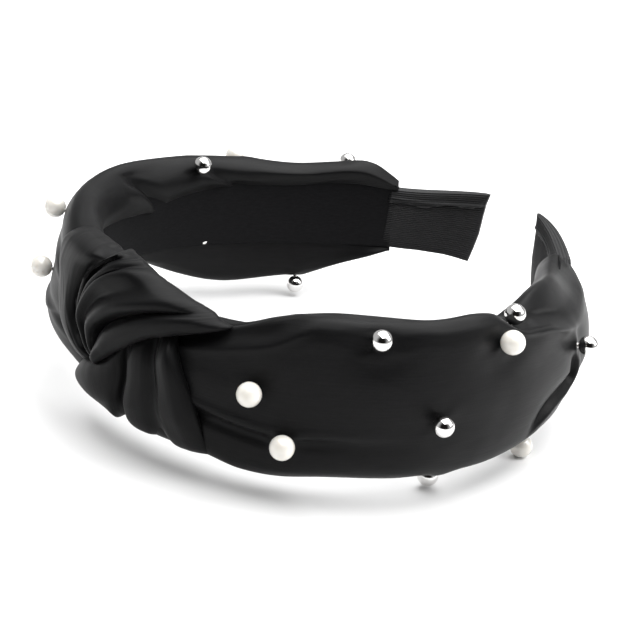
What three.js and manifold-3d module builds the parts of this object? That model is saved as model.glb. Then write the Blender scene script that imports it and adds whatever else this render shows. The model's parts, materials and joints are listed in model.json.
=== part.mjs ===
// Knotted satin headband with pearls and polished balls, lying on its edge.
// Millimetres. +Z is across the band, the knot is at -Y and the two tips are at +Y.
// A place on the band is given by its angle round the C (0 at the knot, positive to +X), its offset
// outwards from the core's middle surface, and its height from the core's centre line.
import * as THREE from 'three';
import { mergeVertices } from 'three/addons/utils/BufferGeometryUtils.js';
import Module from 'manifold-3d';

// ---- Driving dimensions ----
const HALF_BREADTH = 60;
const HALF_LENGTH = 72.7;
const EGG = 0.253; // how much fuller the C is at its knot end
const TIP_ANGLE = 168;
const SLEEVE_END = 138;
const FLEX_ANGLE = 22; // the arms flex here, at the knot's two edges
const TIP_LIFT = 3; // how far the tips stand above the sleeve ends

const CORE_THICKNESS = 1.6;
const CORE_HALF_WIDTH = 10;
const TIP_HALF_WIDTH = 8.5;
const LINING_THICKNESS = 0.9;
const GAP = 0.3;

const PEARL_RADIUS = 3;
const BALL_RADIUS = 2.5;
const BEAD_STAND_OFF = 0.45;
const POST_RADIUS = 0.5;
const CAP_RADIUS = 1.5;
const CAP_THICKNESS = 0.4;
const CAP_DEPTH = 1.4; // how far the cap's underside lies below the fabric

const STATION_STEP = 4; // degrees between the sections of a sleeve
const BEAD_SIDES = 14;
const POST_SIDES = 8;

// ---- Fabric sections along each piece ----
// angle, outward bulge, then offset and height of: upper rim, upper flap, lower rim, lower flap
const RIGHT_SLEEVE = [
  [23.3, 8.8, 2, 12.5, 0, 12.3, 2.5, -22, 0, -20.5],
  [35, 9.8, 2, 18.8, 0, 18, 2.5, -22.5, 0, -21],
  [48, 10.1, 2, 20, 0, 19, 2.5, -21.2, 0, -20],
  [70, 10.3, 2, 19.6, -2, 18, 2.5, -21.6, 0, -20.2],
  [81, 10.3, 1.5, 14.2, -3, 13.6, 3, -21.6, -1, -20],
  [90, 10.3, 0.5, 16, -4, 14.4, 3.5, -21.4, -1.5, -19.6],
  [98, 10.3, 0.5, 16.4, -5, 14.5, 4, -19.8, -2, -18.5],
  [110, 9.4, 0, 14.4, -7, 12, 4, -17, -3, -15.5],
  [125, 7.4, -1, 11.2, -7.8, 10, 2, -12.8, -5, -11],
  [138, 4, 0, 10, -6.8, 9.8, 1, -10.5, -5, -9.8],
];
const LEFT_SLEEVE = [
  [23.3, 9, 2, 17, -1.5, 15.5, 3, -15, -1, -13.5],
  [33, 8.6, 2, 18.8, -2, 17, 3, -13.4, -1, -12.2],
  [46, 7.2, 2, 19.4, -3, 17, 2.5, -11.7, -1, -11.2],
  [66, 7.2, 2, 19.6, -3, 16, 2.5, -11.6, -1, -11.2],
  [80, 7.8, 2, 19, -3.2, 16, 2, -16, -1.5, -13.5],
  [94, 8.4, 2, 18, -3.5, 15, 1.5, -21.4, -2.4, -18.5],
  [114, 8.2, 1.6, 15.8, -4, 13.5, 1.5, -20.8, -2.6, -18],
  [128, 6.8, 1, 16.6, -4, 14.5, 1.2, -15, -2.6, -13],
  [138, 4, 0.4, 11.8, -3, 10.4, 1, -10.8, -3, -9.8],
];
const KNOT = [
  [-20.5, 9, 2, 17, -1, 16, 3, -13, -1, -12.6],
  [-10, 12.5, 3, 21, -0.5, 20, 4, -19.5, 0, -18.5],
  [0, 13.5, 3, 22.5, -0.5, 21.5, 4, -20, 0, -19],
  [10, 13, 3, 18, -0.5, 17.5, 4, -20, 0, -19],
  [20.3, 10.5, 2.5, 12.5, 0, 12.3, 3, -20.2, 0, -19.3],
];

// ---- Creases of the knot, seen from outside: x and height ----
const LEFT_CREASE = [[-9, -8], [-13, 3], [-9, 14], [-2, 40]];
const RIGHT_CREASE = [[-9, -8], [2, 0], [24, 12], [60, 16]];
const FAR = 60; // past every edge of the knot

// ---- Beads: name, radius, side, angle, offset and height of a point on the axis, tilt of the axis ----
const BEADS = [
  ['right_pearl_1', PEARL_RADIUS, 1, 28.3, 9.5, 1.4, 0],
  ['right_pearl_2', PEARL_RADIUS, 1, 34.5, 9.3, -9.6, -6],
  ['right_pearl_3', PEARL_RADIUS, 1, 73.3, 8.8, 14.4, 18],
  ['right_pearl_4', PEARL_RADIUS, 1, 93.2, 3.2, -21.1, -80],
  ['right_ball_1', BALL_RADIUS, 1, 48.1, 8.2, 16.8, 32],
  ['right_ball_2', BALL_RADIUS, 1, 60.2, 10.1, -2.5, -4],
  ['right_ball_3', BALL_RADIUS, 1, 66.2, 0.8, -21.2, -112],
  ['right_ball_4', BALL_RADIUS, 1, 102, 9.4, 2.6, 9],
  ['right_ball_5', BALL_RADIUS, 1, 81, 3, 17.1, 75],
  ['left_pearl_1', PEARL_RADIUS, -1, 38, 7.7, -2, 7],
  ['left_pearl_2', PEARL_RADIUS, -1, 45, 6.5, 11.5, 12],
  ['left_pearl_3', PEARL_RADIUS, -1, 99.3, 5.6, 13, 30],
  ['left_pearl_4', PEARL_RADIUS, -1, 80, 7.5, 4, 5],
  ['left_pearl_5', PEARL_RADIUS, -1, 113, 8, -4, -5],
  ['left_ball_1', BALL_RADIUS, -1, 85, -3.4, 16.1, 135],
  ['left_ball_2', BALL_RADIUS, -1, 125.5, 5.1, 13.3, 30],
  ['left_ball_3', BALL_RADIUS, -1, 114.2, -0.8, -20, -106],
  ['left_ball_4', BALL_RADIUS, -1, 69, 6.5, -5.5, -15],
  ['left_ball_5', BALL_RADIUS, -1, 90, 7.5, -10, -12],
];

const wasm = await Module();
wasm.setup();

// ---- Geometry helpers ----
const radians = THREE.MathUtils.degToRad;

function halfWidth(angle) {
  const taper = THREE.MathUtils.smoothstep(Math.abs(angle), 90, 130);
  return CORE_HALF_WIDTH + (TIP_HALF_WIDTH - CORE_HALF_WIDTH) * taper;
}

function bandPoint(angle, offset, height) {
  const t = radians(angle);
  const tangent = new THREE.Vector2(
    HALF_BREADTH * (Math.cos(t) + EGG * Math.cos(2 * t)),
    HALF_LENGTH * Math.sin(t),
  ).normalize();
  const lift = TIP_LIFT * THREE.MathUtils.smoothstep(Math.abs(angle), SLEEVE_END, TIP_ANGLE);
  return new THREE.Vector3(
    HALF_BREADTH * Math.sin(t) * (1 + EGG * Math.cos(t)) + offset * tangent.y,
    -HALF_LENGTH * Math.cos(t) - offset * tangent.x,
    height + lift,
  );
}

// Values at an angle from a list of rows, eased from row to row.
function valuesAt(rows, angle) {
  const next = Math.max(1, rows.findIndex((row) => row[0] >= angle));
  const [low, high] = [rows[next - 1], rows[next]];
  const blend = THREE.MathUtils.smoothstep(angle, low[0], high[0]);
  return low.map((value, i) => value + (high[i] - value) * blend).slice(1);
}

// The fabric's section: outer face, upper flap, the channel that holds the core, lower flap.
function fabricSection(rows, angle) {
  const [bulge, topD, topS, flapD, flapS, lowD, lowS, underD, underS] = valuesAt(rows, angle);
  const outline = [];
  const steps = 8;
  for (let i = 0; i <= steps; i += 1) {
    const turn = -Math.PI / 2 + (Math.PI * i) / steps;
    const base = THREE.MathUtils.lerp(lowD, topD, i / steps);
    const height = (topS + lowS) / 2 + ((topS - lowS) / 2) * Math.sin(turn);
    outline.push([base + (bulge - base) * Math.cos(turn) ** 0.65, height]);
  }
  const edge = halfWidth(angle) + 2 * GAP;
  const inner = -CORE_THICKNESS / 2 - LINING_THICKNESS - 2 * GAP;
  const outer = CORE_THICKNESS / 2 + GAP;
  outline.push([(topD + flapD) / 2, Math.max(topS, flapS) + 0.6], [flapD, flapS]);
  outline.push([inner, edge], [outer, edge], [outer, -edge], [inner, -edge]);
  outline.push([underD, underS], [(lowD + underD) / 2, Math.min(lowS, underS)]);
  return outline;
}

function flatSection(inner, outer, half) {
  return [[outer, -half], [outer, half], [inner, half], [inner, -half]];
}

// Angles from one end to the other, evenly spaced and no further apart than the step.
function stations(from, to, step) {
  const count = Math.ceil(Math.abs(to - from) / step);
  return Array.from({ length: count + 1 }, (_, i) => from + ((to - from) * i) / count);
}

// A closed solid through one section at each angle; side is 1 for the right arm, -1 for the left.
function loft(angles, sectionAt, side = 1) {
  const rings = angles.map((angle) => sectionAt(angle));
  const around = rings[0].length;
  const positions = rings.flatMap((ring, i) => ring.flatMap(([offset, height]) => {
    const point = bandPoint(angles[i], offset, height);
    return [point.x * side, point.y, point.z];
  }));
  const index = [];
  const addFace = (a, b, c) => index.push(...(side > 0 ? [a, b, c] : [a, c, b]));
  for (let i = 0; i < rings.length - 1; i += 1) {
    for (let j = 0; j < around; j += 1) {
      const [a, b] = [i * around + j, i * around + ((j + 1) % around)];
      addFace(a, a + around, b);
      addFace(b, a + around, b + around);
    }
  }
  const last = (rings.length - 1) * around;
  const capOf = (ring) => THREE.ShapeUtils.triangulateShape(ring.map((p) => new THREE.Vector2(...p)), []);
  capOf(rings[0]).forEach(([a, b, c]) => addFace(a, b, c));
  capOf(rings.at(-1)).forEach(([a, b, c]) => addFace(last + a, last + c, last + b));
  const geometry = new THREE.BufferGeometry();
  geometry.setAttribute('position', new THREE.Float32BufferAttribute(positions, 3));
  geometry.setIndex(index);
  return geometry;
}

function toSolid(source) {
  const bare = source.clone();
  bare.deleteAttribute('normal');
  bare.deleteAttribute('uv');
  const merged = mergeVertices(bare, 1e-4);
  return new wasm.Manifold(new wasm.Mesh({
    numProp: 3,
    vertProperties: new Float32Array(merged.attributes.position.array),
    triVerts: new Uint32Array(merged.index.array),
  }));
}

function toGeometry(solid) {
  const mesh = solid.getMesh();
  const geometry = new THREE.BufferGeometry();
  geometry.setAttribute('position', new THREE.Float32BufferAttribute(mesh.vertProperties, 3));
  geometry.setIndex([...mesh.triVerts]);
  geometry.computeVertexNormals();
  return geometry;
}

// A prism over an outline in x and height, reaching well through the knot along Y.
function knotPrism(outline) {
  const shape = new THREE.Shape(outline.map((p) => new THREE.Vector2(...p)));
  const prism = new THREE.ExtrudeGeometry(shape, { depth: 2 * FAR, bevelEnabled: false });
  prism.rotateX(Math.PI / 2);
  return prism;
}

function shifted(outline, dx, dz) {
  return outline.map(([x, z]) => [x + dx, z + dz]);
}

// ---- Materials ----
const satin = { color: 0x141416, roughness: 0.5, metalness: 0 };
const finishes = {
  satin,
  lining: { color: 0x161618, roughness: 0.8, metalness: 0 },
  grosgrain: { color: 0x1b1b1e, roughness: 0.6, metalness: 0 },
  plastic: { color: 0x202022, roughness: 0.4, metalness: 0 },
  pearl: { color: 0xf2efe6, roughness: 0.2, metalness: 0 },
  chrome: { color: 0xd8d8da, roughness: 0.08, metalness: 1 },
};

const headband = new THREE.Group();

function addPiece(name, geometry, finish) {
  const mesh = new THREE.Mesh(geometry, new THREE.MeshStandardMaterial(finishes[finish]));
  mesh.name = name;
  headband.add(mesh);
  return mesh;
}

// ---- Core and lining, each in three lengths that meet at the flex points ----
const MEETING_GAP = 0.4; // degrees left on each side of a flex point
const core = (angle) => flatSection(-CORE_THICKNESS / 2, CORE_THICKNESS / 2, halfWidth(angle));
const liningOuter = -CORE_THICKNESS / 2 - GAP;
const lining = (angle) => flatSection(liningOuter - LINING_THICKNESS, liningOuter, halfWidth(angle));
const crownAngles = stations(-FLEX_ANGLE + MEETING_GAP, FLEX_ANGLE - MEETING_GAP, 5);
const RIBBON_START = SLEEVE_END + 0.4;
const coreAngles = stations(FLEX_ANGLE + MEETING_GAP, TIP_ANGLE - 1, 5);
const liningAngles = stations(FLEX_ANGLE + MEETING_GAP, SLEEVE_END - 0.5, 5);

addPiece('crown_core', loft(crownAngles, core), 'plastic');
addPiece('crown_lining', loft(crownAngles, lining), 'lining');

// ---- Knot: one gathered form parted along its two creases, and the strap inside ----
const knotBlank = toSolid(loft(stations(-20.5, 20.3, 3.4), (angle) => fabricSection(KNOT, angle)));
const CREASE_GAP = 0.25;
const overOutline = [...shifted(LEFT_CREASE, CREASE_GAP, 0), [FAR, FAR], ...RIGHT_CREASE.slice(1).reverse()];
const gatherOutline = [...shifted(LEFT_CREASE, -CREASE_GAP, 0.2), [-FAR, FAR], [-FAR, -20]];
const underOutline = [...shifted(RIGHT_CREASE, 0, -0.5), [FAR, -FAR], [-FAR, -FAR], [-FAR, -20.6]];
[['knot_over_wrap', overOutline], ['knot_left_gather', gatherOutline], ['knot_under_wrap', underOutline]]
  .forEach(([name, outline]) => {
    addPiece(name, toGeometry(knotBlank.intersect(toSolid(knotPrism(outline)))), 'satin');
  });

const STRAP_REACH = 13.5;
const STRAP_HALF_WIDTH = 13;
const strapOuter = liningOuter - LINING_THICKNESS - 2 * GAP;
const STRAP_THICKNESS = 1.2;
const strap = () => flatSection(strapOuter - STRAP_THICKNESS, strapOuter, STRAP_HALF_WIDTH);
addPiece('knot_inner_strap', loft(stations(-STRAP_REACH, STRAP_REACH, 3), strap), 'satin');

// ---- Beads, their posts and the pockets that the posts sit in ----
const bodyProfile = (grow) => {
  const top = BEAD_STAND_OFF + 1.2 + grow;
  const [post, cap] = [POST_RADIUS + grow, CAP_RADIUS + grow];
  const low = -CAP_DEPTH - grow;
  const high = -CAP_DEPTH + CAP_THICKNESS + grow;
  const profile = [[0, low], [cap, low], [cap, high], [post, high], [post, top], [0, top]];
  return new THREE.LatheGeometry(profile.map((p) => new THREE.Vector2(...p)), POST_SIDES);
};

function placeBead(sleeve, [name, radius, side, angle, offset, height, tilt]) {
  const through = bandPoint(angle, offset, height);
  const ahead = bandPoint(
    angle,
    offset + Math.cos(radians(tilt)),
    height + Math.sin(radians(tilt)),
  );
  const outwards = ahead.sub(through);
  through.x *= side;
  outwards.x *= side;
  const start = through.clone().addScaledVector(outwards, FAR);
  const ray = new THREE.Raycaster(start, outwards.clone().negate());
  const seat = ray.intersectObject(sleeve)[0].point;
  const turn = new THREE.Quaternion().setFromUnitVectors(new THREE.Vector3(0, 1, 0), outwards);
  const place = new THREE.Matrix4().compose(seat, turn, new THREE.Vector3(1, 1, 1));
  const ball = new THREE.SphereGeometry(radius, BEAD_SIDES, BEAD_SIDES - 4);
  ball.translate(0, BEAD_STAND_OFF + radius, 0);
  const bead = toSolid(ball.applyMatrix4(place));
  const hole = toSolid(bodyProfile(GAP).applyMatrix4(place));
  const finish = radius === PEARL_RADIUS ? 'pearl' : 'chrome';
  addPiece(name, toGeometry(bead.subtract(hole)), finish);
  addPiece(`${name}_rivet`, bodyProfile(0).applyMatrix4(place), 'chrome');
  return hole;
}

// ---- The two arms ----
const RIBBON_WALL = 1.2;
const RIBBON_THICKNESS = 2.2;

function ribbon(side) {
  const wrap = (angle) => flatSection(
    -RIBBON_THICKNESS,
    RIBBON_THICKNESS,
    halfWidth(angle) + GAP + RIBBON_WALL,
  );
  const inside = (angle) => flatSection(
    -CORE_THICKNESS / 2 - GAP,
    CORE_THICKNESS / 2 + GAP,
    halfWidth(angle) + GAP,
  );
  const outside = toSolid(loft(stations(RIBBON_START, TIP_ANGLE, 3), wrap, side));
  const pocket = toSolid(loft(stations(RIBBON_START - 3, TIP_ANGLE - 0.6, 3), inside, side));
  return toGeometry(outside.subtract(pocket));
}

[['right', 1, RIGHT_SLEEVE], ['left', -1, LEFT_SLEEVE]].forEach(([label, side, rows]) => {
  addPiece(`${label}_arm_core`, loft(coreAngles, core, side), 'plastic');
  addPiece(`${label}_arm_lining`, loft(liningAngles, lining, side), 'lining');
  const angles = stations(rows[0][0], SLEEVE_END, STATION_STEP);
  const sleeve = addPiece(
    `${label}_sleeve`,
    loft(angles, (angle) => fabricSection(rows, angle), side),
    'satin',
  );
  const pockets = BEADS.filter((bead) => bead[2] === side).map((bead) => placeBead(sleeve, bead));
  const pierced = pockets.reduce((solid, pocket) => solid.subtract(pocket), toSolid(sleeve.geometry));
  sleeve.geometry = toGeometry(pierced);
  addPiece(`${label}_tip_ribbon`, ribbon(side), 'grosgrain');
});

// ---- The origin is under the middle of the whole headband ----
const box = new THREE.Box3().setFromObject(headband);
headband.position.set(-(box.min.x + box.max.x) / 2, -(box.min.y + box.max.y) / 2, -box.min.z);

export default headband;
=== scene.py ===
"""Looks of the knotted satin headband with pearls and balls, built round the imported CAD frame."""
import json
import bpy
import numpy as np
from mathutils import Matrix, Vector


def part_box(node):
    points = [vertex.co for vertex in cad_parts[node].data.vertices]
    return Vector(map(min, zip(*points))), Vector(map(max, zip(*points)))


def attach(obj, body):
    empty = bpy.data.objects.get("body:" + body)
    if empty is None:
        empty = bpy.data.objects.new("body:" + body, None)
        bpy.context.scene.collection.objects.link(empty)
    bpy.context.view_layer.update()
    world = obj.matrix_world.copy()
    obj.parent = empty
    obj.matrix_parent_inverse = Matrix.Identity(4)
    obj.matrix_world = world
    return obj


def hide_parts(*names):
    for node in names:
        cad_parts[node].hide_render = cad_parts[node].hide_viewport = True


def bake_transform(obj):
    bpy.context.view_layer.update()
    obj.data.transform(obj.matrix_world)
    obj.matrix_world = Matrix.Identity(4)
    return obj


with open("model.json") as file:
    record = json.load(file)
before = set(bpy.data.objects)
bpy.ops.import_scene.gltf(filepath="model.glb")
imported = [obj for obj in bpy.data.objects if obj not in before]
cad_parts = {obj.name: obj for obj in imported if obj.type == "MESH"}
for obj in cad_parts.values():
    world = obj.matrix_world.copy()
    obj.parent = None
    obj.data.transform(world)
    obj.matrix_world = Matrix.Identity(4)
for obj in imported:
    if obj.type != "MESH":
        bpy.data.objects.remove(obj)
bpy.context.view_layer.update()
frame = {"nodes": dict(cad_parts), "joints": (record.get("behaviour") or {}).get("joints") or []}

# ---- The band line, as in the CAD: millimetres and degrees, 0 degrees at the knot, + to the right arm ----
MM = 0.001
HALF_BREADTH = 60
HALF_LENGTH = 72.7
EGG = 0.253  # makes the band wider towards the knot and narrower towards the tips
TIP_ANGLE = 168
SLEEVE_END = 138
FLEX_ANGLE = 22
BEND_ANGLES = (14, 30)  # where cloth that crosses a flex point would start and stop bending; nothing bends it
TIP_LIFT = 3
CORE_HALF_WIDTH = 10
CORE_THICKNESS = 1.6
CORE_END = 163

# ---- Cloth: thickness as it shows at a hem, in millimetres ----
SATIN_THICKNESS = 0.45
LINING_THICKNESS = 0.4


# ---- Small shapes that everything below is made with ----
def smooth(x):
    """0 up to 0, 1 from 1 on, and a soft step between."""
    x = np.clip(x, 0, 1)
    return x * x * (3 - 2 * x)


def bump(x):
    """A soft hump, 1 at 0."""
    return np.exp(-x * x)


def squared_off(wave, power):
    """A sine or cosine with flatter tops for a power below 1."""
    return np.sign(wave) * np.abs(wave) ** power


def fading(angle, full, gone):
    """1 at the angle full, running smoothly to 0 at the angle gone, on either side of it."""
    return smooth((gone - angle) / (gone - full))


def waves(a, b, seed):
    """Soft random height from -1 to 1 over two coordinates: a seeded lattice, smoothly joined."""
    lattice = np.random.default_rng(seed).uniform(-1, 1, (64, 64))
    ia, ib = np.floor(a).astype(int), np.floor(b).astype(int)
    fa, fb = smooth(a - ia), smooth(b - ib)
    corner = lambda i, j: lattice[(ia + i) % 64, (ib + j) % 64]
    low = corner(0, 0) * (1 - fa) + corner(1, 0) * fa
    high = corner(0, 1) * (1 - fa) + corner(1, 1) * fa
    return low * (1 - fb) + high * fb


def line(angle, offset, height):
    """Points at these angles round the band, offsets outwards and heights, in mm from the band's centre."""
    t = np.radians(angle)
    run_x = HALF_BREADTH * (np.cos(t) + EGG * np.cos(2 * t))
    run_y = HALF_LENGTH * np.sin(t)
    size = np.hypot(run_x, run_y)
    lift = TIP_LIFT * smooth((np.abs(angle) - SLEEVE_END) / (TIP_ANGLE - SLEEVE_END))
    x = HALF_BREADTH * np.sin(t) * (1 + EGG * np.cos(t)) + offset * run_y / size
    y = -HALF_LENGTH * np.cos(t) - offset * run_x / size
    return np.stack(np.broadcast_arrays(x, y, height + lift), -1)


flex = [j for j in frame["joints"] if j["name"] == "right_arm_flex"][0]
CENTRE = np.array(flex["pos_m"]) - line(FLEX_ANGLE, 0, 0) * MM


def band(angle, offset, height):
    """The same points in the frame's metres."""
    return line(angle, offset, height) * MM + CENTRE


def side_name(side):
    """side is 1 for the right arm and -1 for the left, all through this script."""
    return "right" if side > 0 else "left"


# ---- Smooth curves through given points ----
def spline(keys, count):
    """Catmull-Rom through the keys along their first axis, at count even steps."""
    keys = np.asarray(keys, float)
    where = np.linspace(0, len(keys) - 1, count)
    low = np.clip(where.astype(int), 0, len(keys) - 2)
    ends = np.concatenate([2 * keys[:1] - keys[1:2], keys, 2 * keys[-1:] - keys[-2:-1]])
    f = (where - low).reshape((-1,) + (1,) * (keys.ndim - 1))
    a, b, c, d = (ends[low + i] for i in range(4))
    cubic = (3 * b - a - 3 * c + d) * f**3 + (2 * a - 5 * b + 4 * c - d) * f**2
    return 0.5 * (cubic + (c - a) * f + 2 * b)


def along(rows, angles):
    """Smooth values at the angles, from rows that start with an angle."""
    rows = np.asarray(rows, float)
    x, y = rows[:, 0], rows[:, 1:]
    slope = np.gradient(y, x, axis=0)
    i = np.clip(np.searchsorted(x, angles) - 1, 0, len(x) - 2)
    h = (x[i + 1] - x[i])[:, None]
    f = (angles[:, None] - x[i][:, None]) / h
    f = np.clip(f, 0, 1)
    rest = y[i] * (2 * f**3 - 3 * f**2 + 1) + y[i + 1] * (3 * f**2 - 2 * f**3)
    return rest + h * (slope[i] * (f**3 - 2 * f**2 + f) + slope[i + 1] * (f**3 - f**2))


# ---- Meshes from grids of points ----
def grid_normals(points):
    """Unit normals of the surface through a grid of points."""
    du = np.gradient(points, axis=0)
    dv = np.gradient(points, axis=1)
    n = np.cross(du, dv)
    return n / np.maximum(np.linalg.norm(n, axis=-1, keepdims=True), 1e-12)


def cloth_lengths(points):
    """Each point's place on the flat cloth, in metres: mean lengths down the rows and along the columns."""
    steps_u = np.linalg.norm(np.diff(points, axis=0), axis=-1).mean(1)
    steps_v = np.linalg.norm(np.diff(points, axis=1), axis=-1).mean(0)
    u = np.concatenate([[0], np.cumsum(steps_u)])
    v = np.concatenate([[0], np.cumsum(steps_v)])
    return np.stack(np.meshgrid(u, v, indexing="ij"), -1).reshape(-1, 2)


def mesh_from_grid(name, points, material, closed=False, flip=False):
    """A smooth mesh over a grid of points; closed joins the last column to the first."""
    rows, cols = points.shape[:2]
    index = np.arange(rows * cols).reshape(rows, cols)
    if closed:
        index = np.concatenate([index, index[:, :1]], 1)
    quads = np.stack([index[:-1, :-1], index[1:, :-1], index[1:, 1:], index[:-1, 1:]], -1)
    quads = quads.reshape(-1, 4)
    if flip:
        quads = quads[:, ::-1]
    mesh = bpy.data.meshes.new(name)
    mesh.from_pydata(points.reshape(-1, 3).tolist(), [], quads.tolist())
    layer = mesh.uv_layers.new(name="cloth")
    loops = np.zeros(len(mesh.loops), int)
    mesh.loops.foreach_get("vertex_index", loops)
    layer.data.foreach_set("uv", cloth_lengths(points)[loops].ravel())
    mesh.polygons.foreach_set("use_smooth", [True] * len(mesh.polygons))
    mesh.materials.append(material)
    piece = bpy.data.objects.new(name, mesh)
    bpy.context.scene.collection.objects.link(piece)
    return piece


def thicken(piece, thickness):
    """Gives the cloth its thickness, inwards from the surface, as part of its mesh."""
    solid = piece.modifiers.new("cloth", "SOLIDIFY")
    solid.thickness = thickness * MM
    solid.offset = -1
    shape = piece.evaluated_get(bpy.context.evaluated_depsgraph_get())
    piece.data = bpy.data.meshes.new_from_object(shape)
    piece.modifiers.clear()


# ---- Materials ----
def principled(name, **values):
    """A material with values set on its shader by the names of its sockets."""
    material = bpy.data.materials.new(name)
    material.use_nodes = True
    shader = material.node_tree.nodes["Principled BSDF"]
    for key, value in values.items():
        shader.inputs[key.replace("_", " ")].default_value = value
    return material, material.node_tree, shader


def node(tree, kind, **settings):
    """A node with each setting put on its socket of that name or, without one, on the node itself."""
    made = tree.nodes.new(kind)
    for key, value in settings.items():
        if key in made.inputs:
            made.inputs[key].default_value = value
        else:
            setattr(made, key, value)
    return made


def cloth_texture(tree, kind, repeats, **settings):
    """A texture laid on the flat cloth, repeating so many times a metre along its two directions."""
    uv = node(tree, "ShaderNodeUVMap", uv_map="cloth")
    mapping = node(tree, "ShaderNodeMapping")
    mapping.inputs["Scale"].default_value = (*repeats, 1)
    made = node(tree, kind, Scale=1.0, **settings)
    tree.links.new(uv.outputs["UV"], mapping.inputs["Vector"])
    tree.links.new(mapping.outputs["Vector"], made.inputs["Vector"])
    return made.outputs["Fac"]


def solid_noise(tree, scale, detail):
    """Noise through the piece's own space."""
    made = node(tree, "ShaderNodeTexNoise", Scale=scale, Detail=detail)
    place = node(tree, "ShaderNodeTexCoord")
    tree.links.new(place.outputs["Object"], made.inputs["Vector"])
    return made.outputs["Fac"]


def add_bump(tree, shader, heights):
    """Chains bumps onto the shader: each is a height socket, a strength and a depth in metres."""
    below = None
    for height, strength, depth in heights:
        made = node(tree, "ShaderNodeBump", Strength=strength, Distance=depth)
        tree.links.new(height, made.inputs["Height"])
        if below:
            tree.links.new(below, made.inputs["Normal"])
        below = made.outputs["Normal"]
    tree.links.new(below, shader.inputs["Normal"])


def tinted(tree, shader, height, dark, light):
    """Colours the shader between two tones by a height socket."""
    ramp = node(tree, "ShaderNodeValToRGB")
    ramp.color_ramp.elements[0].color = (*dark, 1)
    ramp.color_ramp.elements[1].color = (*light, 1)
    tree.links.new(height, ramp.inputs["Fac"])
    tree.links.new(ramp.outputs["Color"], shader.inputs["Base Color"])


def satin_material():
    material, tree, shader = principled(
        "satin", Roughness=0.42, Specular_IOR_Level=0.08, Sheen_Weight=0.02, Sheen_Roughness=0.3)
    threads = cloth_texture(tree, "ShaderNodeTexNoise", (160, 2600), Detail=3.0)
    twill = cloth_texture(tree, "ShaderNodeTexWave", (700, 1300), Distortion=0.6)
    crumple = cloth_texture(tree, "ShaderNodeTexNoise", (60, 170), Detail=2.0)
    rumple = cloth_texture(tree, "ShaderNodeTexNoise", (28, 75), Detail=1.0)
    tinted(tree, shader, threads, (0.0028, 0.0028, 0.003), (0.006, 0.006, 0.0063))
    add_bump(tree, shader, [
        (rumple, 0.3, 0.002),
        (crumple, 0.25, 0.0008),
        (threads, 0.16, 0.0002),
        (twill, 0.05, 0.0001),
    ])
    return material


def lining_material():
    material, tree, shader = principled(
        "lining", Roughness=0.6, Specular_IOR_Level=0.03, Sheen_Weight=0.03, Sheen_Roughness=0.4)
    weave = cloth_texture(tree, "ShaderNodeTexNoise", (500, 1800), Detail=4.0)
    tinted(tree, shader, weave, (0.004, 0.004, 0.0045), (0.009, 0.009, 0.0095))
    add_bump(tree, shader, [(weave, 0.3, 0.0003)])
    return material


def grosgrain_material():
    material, tree, shader = principled(
        "grosgrain", Roughness=0.5, Specular_IOR_Level=0.22, Sheen_Weight=0.06, Sheen_Roughness=0.35)
    fibres = cloth_texture(tree, "ShaderNodeTexNoise", (2400, 900), Detail=3.0)
    tinted(tree, shader, fibres, (0.006, 0.006, 0.0065), (0.013, 0.013, 0.014))
    add_bump(tree, shader, [(fibres, 0.25, 0.0002)])
    return material


def pearl_material():
    material, tree, shader = principled(
        "pearl", Roughness=0.14, Coat_Weight=1.0, Coat_Roughness=0.05,
        Subsurface_Weight=0.2, Subsurface_Radius=(0.0012, 0.0010, 0.0008), Subsurface_Scale=1.0)
    tinted(tree, shader, solid_noise(tree, 420.0, 2.0), (0.66, 0.63, 0.57), (0.74, 0.72, 0.68))
    return material


def chrome_material():
    material, tree, shader = principled("chrome", Metallic=1.0, Roughness=0.09)
    tinted(tree, shader, solid_noise(tree, 900.0, 3.0), (0.70, 0.69, 0.68), (0.80, 0.79, 0.78))
    return material


def plastic_material():
    material, tree, shader = principled("plastic", Roughness=0.4)
    grain = solid_noise(tree, 2500.0, 2.0)
    tinted(tree, shader, grain, (0.02, 0.02, 0.021), (0.03, 0.03, 0.032))
    add_bump(tree, shader, [(grain, 0.1, 0.0001)])
    return material


satin = satin_material()
lining = lining_material()
grosgrain = grosgrain_material()
pearl = pearl_material()
chrome = chrome_material()
plastic = plastic_material()


# ---- Beads: each stands on its rivet, square to the cloth where the CAD has it ----
PEARL_RADIUS = 3.0
BALL_RADIUS = 2.5
BALL_GROWTH = 0.12  # a ball is drawn larger than the CAD's by this
BEAD_STAND_OFF = 0.45
HOLE_RADIUS = 0.55
HOLE_DEPTH = 1.4
HOLE_LIP = 0.12


class Bead:
    def __init__(self, name):
        low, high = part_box(name)
        foot_low, foot_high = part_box(name + "_rivet")
        self.name = name
        self.body = "right_arm" if name.startswith("right") else "left_arm"
        self.is_pearl = "pearl" in name
        self.centre = np.array((low + high) / 2)
        self.radius = PEARL_RADIUS if self.is_pearl else BALL_RADIUS
        axis = self.centre - np.array((foot_low + foot_high) / 2)
        self.axis = axis / np.linalg.norm(axis)
        self.seat = self.centre - self.axis * (self.radius + BEAD_STAND_OFF) * MM


beads = [Bead(n) for n in sorted(frame["nodes"]) if n.split("_")[1] in ("pearl", "ball") and n[-1].isdigit()]

# How a rivet draws the cloth, in millimetres.
PIN_REACH = 7         # how far round it the cloth comes down or up to it
PIN_HELD = 3.4        # how far round it the cloth lies level
PIN_RISE = 0.12       # the cloth's face above the seat
PIN_SEARCH = (1.2, 9)  # how near the axis, and how near the seat, cloth counts as held
LAYER_BELOW = (7, 5)  # a layer this far below the held one stays put, and how softly that starts
PUCKER_HEIGHT = 0.12
PUCKER_FROM = 2.4
PUCKER_REACH = 9


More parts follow.
